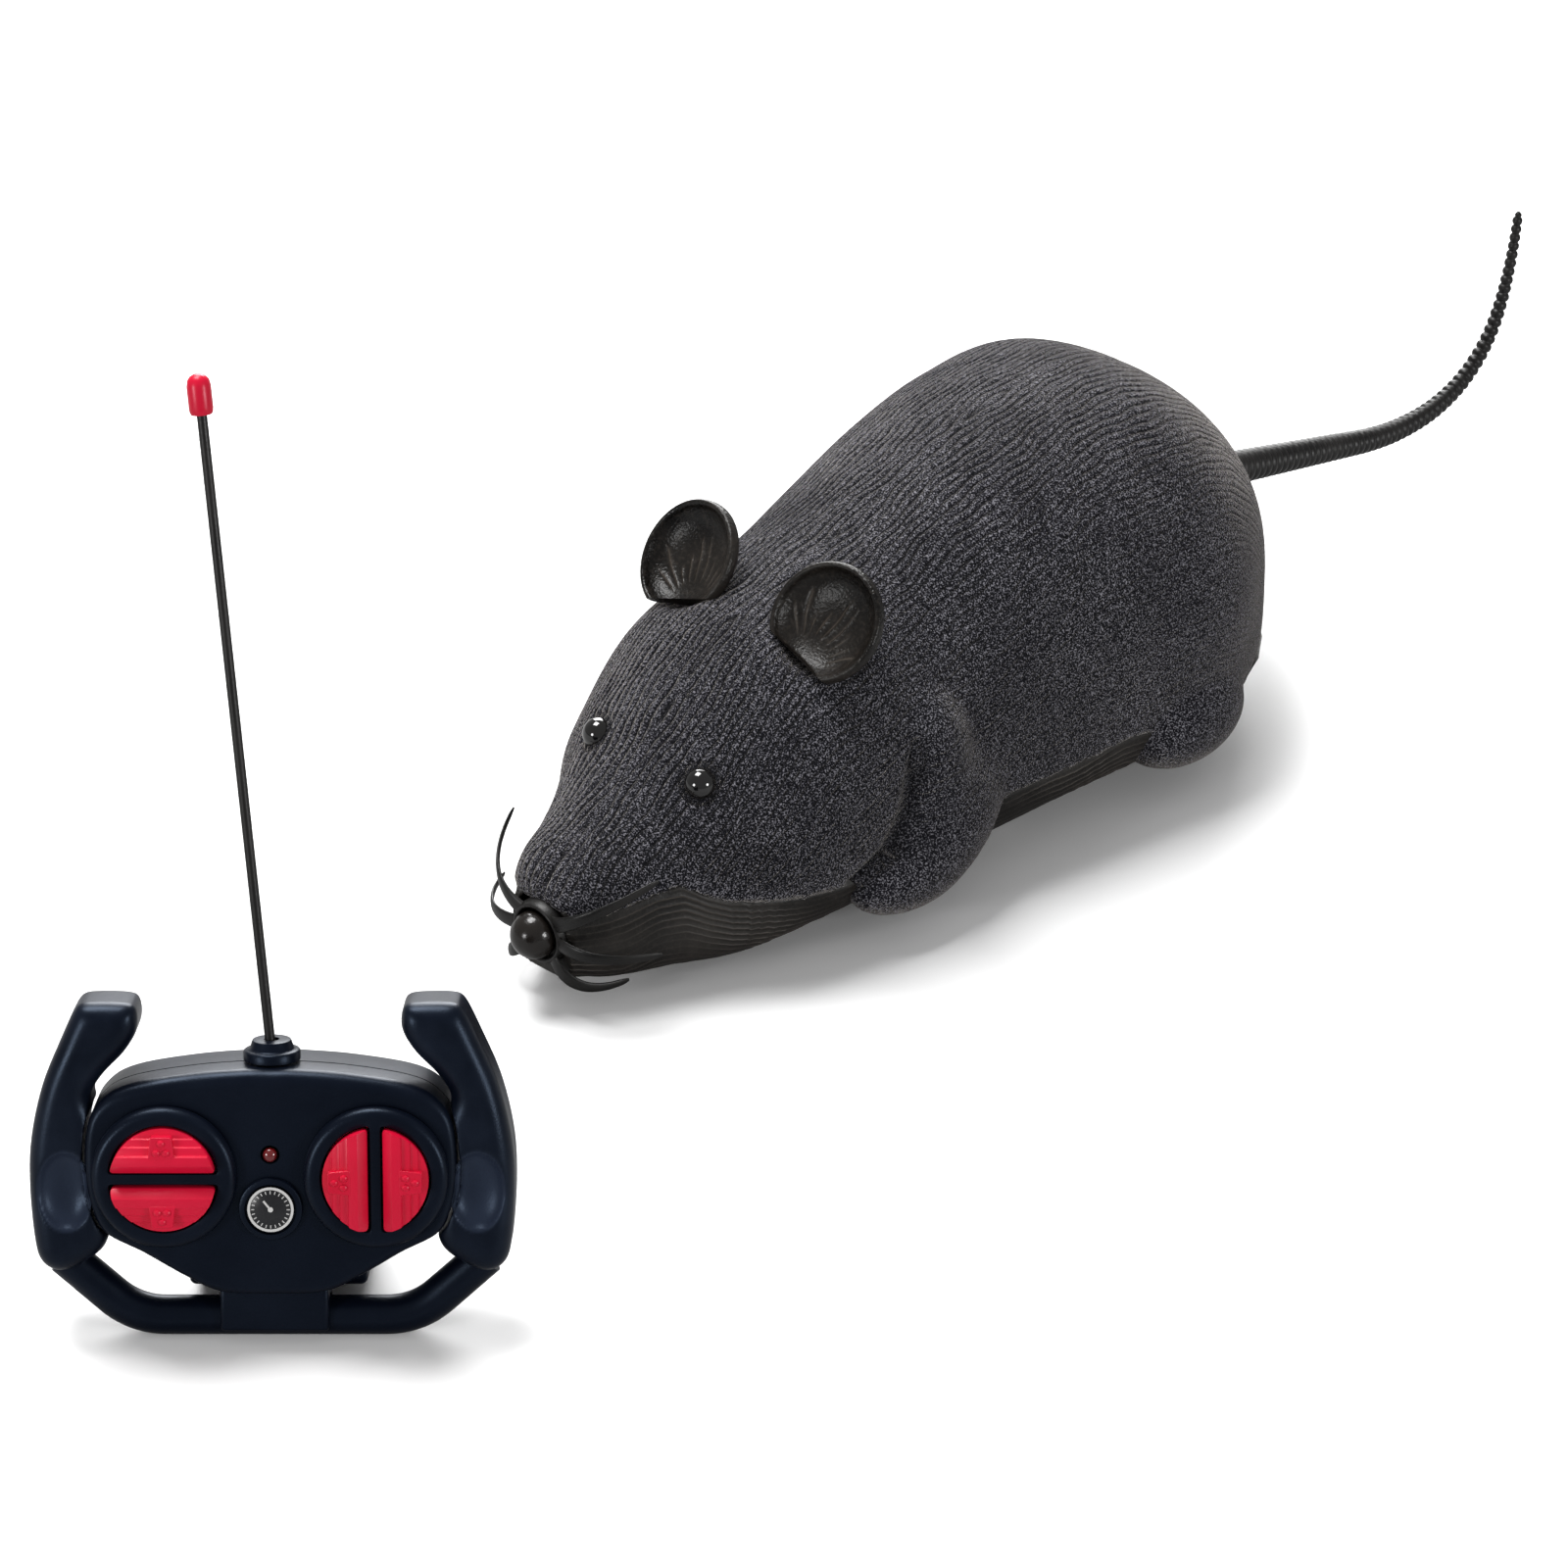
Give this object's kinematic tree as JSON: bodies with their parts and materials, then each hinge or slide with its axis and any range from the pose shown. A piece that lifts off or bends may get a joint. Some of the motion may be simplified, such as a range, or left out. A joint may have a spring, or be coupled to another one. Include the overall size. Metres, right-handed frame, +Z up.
{
  "type": "robotic mouse cat toy",
  "caption": "Remote-controlled flocked toy mouse on two geared drive wheels and a front roller, with its small two-pad handset with horn grips and antenna.",
  "frame": {"origin": "middle of the base of the whole set's box, on the surface that the mouse and the handset stand on", "axes": "+Z up, the mouse's nose towards -Y and its left side towards +X"},
  "size_m": [0.079, 0.2768, 0.1076],
  "materials": {
    "flock": "short dark charcoal flock on a moulded shell",
    "belly_plastic": "bare brownish black moulded plastic",
    "gloss_black": "polished black",
    "soft_black": "soft black rubber",
    "navy_plastic": "satin blue-black plastic",
    "button_red": "satin crimson plastic",
    "lens_red": "clear dark red lens",
    "dial_face": "printed dial, white on black",
    "steel": "plain drawn steel",
    "nickel": "nickel plated steel",
    "gear_nylon": "natural nylon",
    "board_green": "green solder mask",
    "rubber_grey": "dark grey rubber"
  },
  "bodies": {
    "root": {"antenna_boot": "navy_plastic", "antenna_rod": "soft_black", "antenna_tip": "button_red", "body_shell": "flock", "chassis": "belly_plastic", "dial_plate": "dial_face", "front_screw": "steel", "guard_bar": "navy_plastic", "handset_board": "board_green", "handset_cell_1": "nickel", "handset_cell_2": "nickel", "handset_cell_3": "nickel", "handset_front": "navy_plastic", "handset_left_contact": "nickel", "handset_rear": "navy_plastic", "handset_right_contact": "nickel", "indicator_lens": "lens_red", "left_contact_mat": "rubber_grey", "left_ear": "gloss_black", "left_eye": "gloss_black", "left_grip": "navy_plastic", "left_motor": "steel", "left_pad_ring": "navy_plastic", "motor_clamp": "belly_plastic", "mouse_cell_1": "nickel", "mouse_cell_2": "nickel", "mouse_cell_3": "nickel", "mouse_left_contact": "nickel", "mouse_right_contact": "nickel", "nose": "gloss_black", "rear_left_screw": "steel", "rear_right_screw": "steel", "receiver_board": "board_green", "right_contact_mat": "rubber_grey", "right_ear": "gloss_black", "right_eye": "gloss_black", "right_grip": "navy_plastic", "right_motor": "steel", "right_pad_ring": "navy_plastic", "roller_pin": "steel", "switch_body": "steel", "tail": "soft_black", "wheel_axle": "steel", "whisker_set": "soft_black"},
    "left_wheel": {"left_wheel": "gear_nylon", "left_tyre": "rubber_grey"},
    "right_wheel": {"right_wheel": "gear_nylon", "right_tyre": "rubber_grey"},
    "left_pinion": {"left_pinion": "gear_nylon"},
    "right_pinion": {"right_pinion": "gear_nylon"},
    "front_roller": {"front_roller": "gear_nylon"},
    "switch_knob": {"switch_knob": "gloss_black"},
    "battery_cover": {"battery_cover": "belly_plastic"},
    "handset_battery_cover": {"handset_battery_cover": "navy_plastic"},
    "forward_button": {"forward_button": "button_red"},
    "reverse_button": {"reverse_button": "button_red"},
    "turn_left_button": {"turn_left_button": "button_red"},
    "turn_right_button": {"turn_right_button": "button_red"}
  },
  "joints": [
    {"name": "left_wheel_spin", "type": "hinge", "parent": "root", "child": "left_wheel", "pos_m": [0.00216, 0.02066, 0.009], "axis": [1, 0, 0], "continuous": true},
    {"name": "right_wheel_spin", "type": "hinge", "parent": "root", "child": "right_wheel", "pos_m": [-0.02104, 0.02066, 0.009], "axis": [1, 0, 0], "continuous": true},
    {"name": "left_motor_spin", "type": "hinge", "parent": "root", "child": "left_pinion", "pos_m": [-0.00164, 0.01252, 0.0095], "axis": [1, 0, 0], "continuous": true},
    {"name": "right_motor_spin", "type": "hinge", "parent": "root", "child": "right_pinion", "pos_m": [-0.01724, 0.02879, 0.0095], "axis": [1, 0, 0], "continuous": true},
    {"name": "roller_spin", "type": "hinge", "parent": "root", "child": "front_roller", "pos_m": [-0.00944, -0.02133, 0.0042], "axis": [1, 0, 0], "continuous": true},
    {"name": "switch_slide", "type": "slide", "parent": "root", "child": "switch_knob", "axis": [0, 1, 0], "range_m": [0, 0.0025]},
    {"name": "battery_cover_hinge", "type": "hinge", "parent": "root", "child": "battery_cover", "pos_m": [-0.00944, 0.03739, 0.00248], "axis": [-1, 0, 0], "range_deg": [0, 70]},
    {"name": "handset_cover_hinge", "type": "hinge", "parent": "root", "child": "handset_battery_cover", "pos_m": [0.00803, -0.10747, 0.00133], "axis": [-0.7314, -0.682, 0], "range_deg": [0, 70]},
    {"name": "forward_button_press", "type": "slide", "parent": "root", "child": "forward_button", "axis": [-0.6478, 0.6947, -0.3126], "range_m": [0, 0.0009], "stiffness_N_per_m": 300},
    {"name": "reverse_button_press", "type": "slide", "parent": "root", "child": "reverse_button", "axis": [-0.6478, 0.6947, -0.3126], "range_m": [0, 0.0009], "stiffness_N_per_m": 300},
    {"name": "turn_left_button_press", "type": "slide", "parent": "root", "child": "turn_left_button", "axis": [-0.6478, 0.6947, -0.3126], "range_m": [0, 0.0009], "stiffness_N_per_m": 300},
    {"name": "turn_right_button_press", "type": "slide", "parent": "root", "child": "turn_right_button", "axis": [-0.6478, 0.6947, -0.3126], "range_m": [0, 0.0009], "stiffness_N_per_m": 300}
  ],
  "couplings": [
    {"joint": "left_motor_spin", "follows": "left_wheel_spin", "ratio": -3},
    {"joint": "right_motor_spin", "follows": "right_wheel_spin", "ratio": -3}
  ]
}
